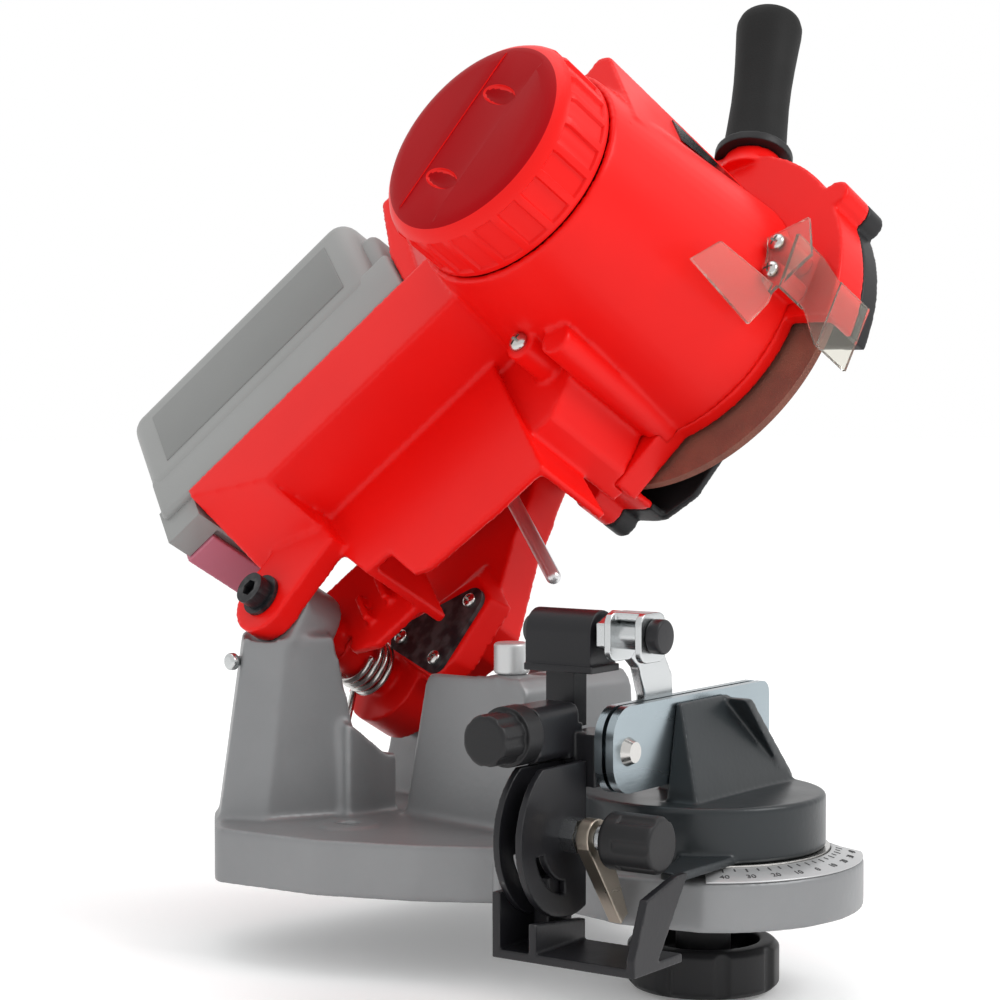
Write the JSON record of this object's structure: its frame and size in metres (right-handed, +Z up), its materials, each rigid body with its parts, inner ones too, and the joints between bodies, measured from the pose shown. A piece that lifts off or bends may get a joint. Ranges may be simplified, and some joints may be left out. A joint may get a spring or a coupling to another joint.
{
  "type": "electric chainsaw sharpener",
  "caption": "Bench-mounted chainsaw-chain sharpener: tilting motor head with guarded grinding wheel, slide-on battery, turntable chain vise with stop and a cast base.",
  "frame": {"origin": "midway between the two bench-bolt holes, on the underside of the base (the bench top)", "axes": "+Z up, +X to the user's right along the two bench bolts, -Y towards the user"},
  "size_m": [0.276, 0.3375, 0.3821],
  "materials": {
    "red_shell": "glossy moulded plastic",
    "black_plastic": "satin moulded plastic",
    "black_gloss": "semi-gloss",
    "grey_plastic": "moulded plastic",
    "key_red": "moulded plastic",
    "casting": "silver-grey paint on die-cast aluminium",
    "post_grey": "satin",
    "charcoal": "dark paint on die-cast aluminium",
    "black_metal": "black paint",
    "zinc": "zinc plated",
    "rail_steel": "blue-grey zinc",
    "steel": "bright steel",
    "lever_steel": "brownish plated steel",
    "chrome": "polished",
    "rubber": "matt rubber",
    "clear": "clear folded polycarbonate sheet",
    "abrasive": "vitrified abrasive",
    "lamination": "laminated steel and winding",
    "magnet": "ferrite",
    "carbon": "carbon",
    "cell_wrap": "shrink sleeve",
    "label_black": "plain film"
  },
  "bodies": {
    "base": {"base_casting": "casting", "tower_pin": "zinc", "rest_post": "post_grey", "hinge_bolt": "black_metal", "hinge_nut": "zinc", "return_spring": "steel"},
    "vise": {"turntable_washer": "steel", "vise_body": "charcoal", "front_rail": "rail_steel", "rear_rail": "rail_steel", "rail_rivets": "steel", "pivot_stud": "zinc", "stop_arm": "zinc", "stop_bracket": "zinc", "stop_pin": "black_metal", "stop_sleeve": "zinc", "feed_block": "black_metal", "front_cheek": "black_metal", "rear_cheek": "black_metal", "lower_bracket": "black_metal", "clamp_nut": "zinc"},
    "turntable_clamp": {"clamp_knob": "black_plastic"},
    "chain_stop": {"stop_pawl": "black_metal"},
    "feed_spindle": {"feed_screw": "zinc"},
    "feed_control": {"feed_knob": "black_plastic"},
    "chain_clamp": {"clamp_bolt": "zinc", "clamp_bolt_knob": "black_plastic"},
    "lever": {"chain_lever": "lever_steel"},
    "head": {"motor_housing": "red_shell", "power_switch": "black_plastic", "motor_end_cap": "red_shell", "guard_housing": "red_shell", "outer_guard": "black_plastic", "guard_screws": "steel", "shell_screws": "steel", "label_plate": "label_black", "pivot_cover": "black_metal", "pivot_cover_screws": "steel", "spark_shield": "clear", "shield_screws": "steel", "handle_core": "black_plastic", "handle_grip": "rubber", "motor_can": "zinc", "motor_magnets": "magnet", "front_bearing": "steel", "rear_bearing": "steel", "carbon_brushes": "carbon"},
    "rotor": {"grinding_wheel": "abrasive", "inner_flange": "zinc", "outer_flange": "zinc", "spindle_nut": "zinc", "armature_shaft": "steel", "armature": "lamination", "cooling_fan": "black_plastic"},
    "rocker": {"switch_rocker": "black_gloss"},
    "depth_spindle": {"depth_rod": "chrome"},
    "depth_control": {"depth_knob": "black_plastic"},
    "battery": {"battery_case": "grey_plastic", "battery_cells": "cell_wrap"},
    "release": {"battery_release": "key_red"}
  },
  "joints": [
    {"name": "head_swing", "type": "hinge", "parent": "base", "child": "head", "pos_m": [-0.00658, 0.041, 0.0691], "axis": [-0.866, 0, 0.5], "range_deg": [-34.29, 0], "stiffness_Nm_per_rad": 5, "springref_deg": 68.75, "deforming": ["return_spring"]},
    {"name": "wheel_spin", "type": "hinge", "parent": "head", "child": "rotor", "pos_m": [0.07595, -0.04899, 0.21205], "axis": [-0.866, 0, 0.5], "continuous": true},
    {"name": "switch_rock", "type": "hinge", "parent": "head", "child": "rocker", "pos_m": [0.0559, -0.04698, 0.28332], "axis": [0.3894, -0.6273, 0.6745], "range_deg": [0, 10]},
    {"name": "depth_feed", "type": "slide", "parent": "head", "child": "depth_spindle", "axis": [0.3136, 0.7788, 0.5432], "range_m": [0, 0.004]},
    {"name": "depth_turn", "type": "hinge", "parent": "depth_spindle", "child": "depth_control", "pos_m": [0.0383, 0.03553, 0.16783], "axis": [0.3136, 0.7788, 0.5432], "range_deg": [0, 1440]},
    {"name": "battery_slide", "type": "slide", "parent": "head", "child": "battery", "axis": [-0.3894, 0.6273, -0.6745], "range_m": [0, 0.06]},
    {"name": "release_press", "type": "slide", "parent": "battery", "child": "release", "axis": [0.3894, -0.6273, 0.6745], "range_m": [0, 0.0025], "stiffness_N_per_m": 800, "springref_m": -0.001},
    {"name": "vise_turn", "type": "hinge", "parent": "base", "child": "vise", "pos_m": [0, -0.12635, 0.02], "axis": [0, 0, -1], "range_deg": [-13, 33]},
    {"name": "turntable_clamp_turn", "type": "hinge", "parent": "vise", "child": "turntable_clamp", "pos_m": [0, -0.12635, -0.011], "axis": [0, 0, 1], "range_deg": [-360, 0]},
    {"name": "stop_flip", "type": "hinge", "parent": "vise", "child": "chain_stop", "pos_m": [-0.056, -0.11781, 0.103], "axis": [0.2079, -0.9781, 0], "range_deg": [0, 100]},
    {"name": "feed_slide", "type": "slide", "parent": "vise", "child": "feed_spindle", "axis": [0.9781, 0.2079, 0], "range_m": [-0.003, 0]},
    {"name": "feed_turn", "type": "hinge", "parent": "feed_spindle", "child": "feed_control", "pos_m": [-0.11078, -0.12945, 0.071], "axis": [0.9781, 0.2079, 0], "range_deg": [-1080, 0]},
    {"name": "chain_clamp_turn", "type": "hinge", "parent": "vise", "child": "chain_clamp", "pos_m": [-0.0763, -0.14257, 0.037], "axis": [-0.2079, 0.9781, 0], "range_deg": [-360, 0]},
    {"name": "lever_swing", "type": "hinge", "parent": "vise", "child": "lever", "pos_m": [-0.07526, -0.14746, 0.037], "axis": [-0.2079, 0.9781, 0], "range_deg": [0, 55]}
  ],
  "couplings": [
    {"joint": "depth_turn", "follows": "depth_feed", "rad_per_m": 6283.2},
    {"joint": "feed_turn", "follows": "feed_slide", "rad_per_m": 6283.2}
  ]
}
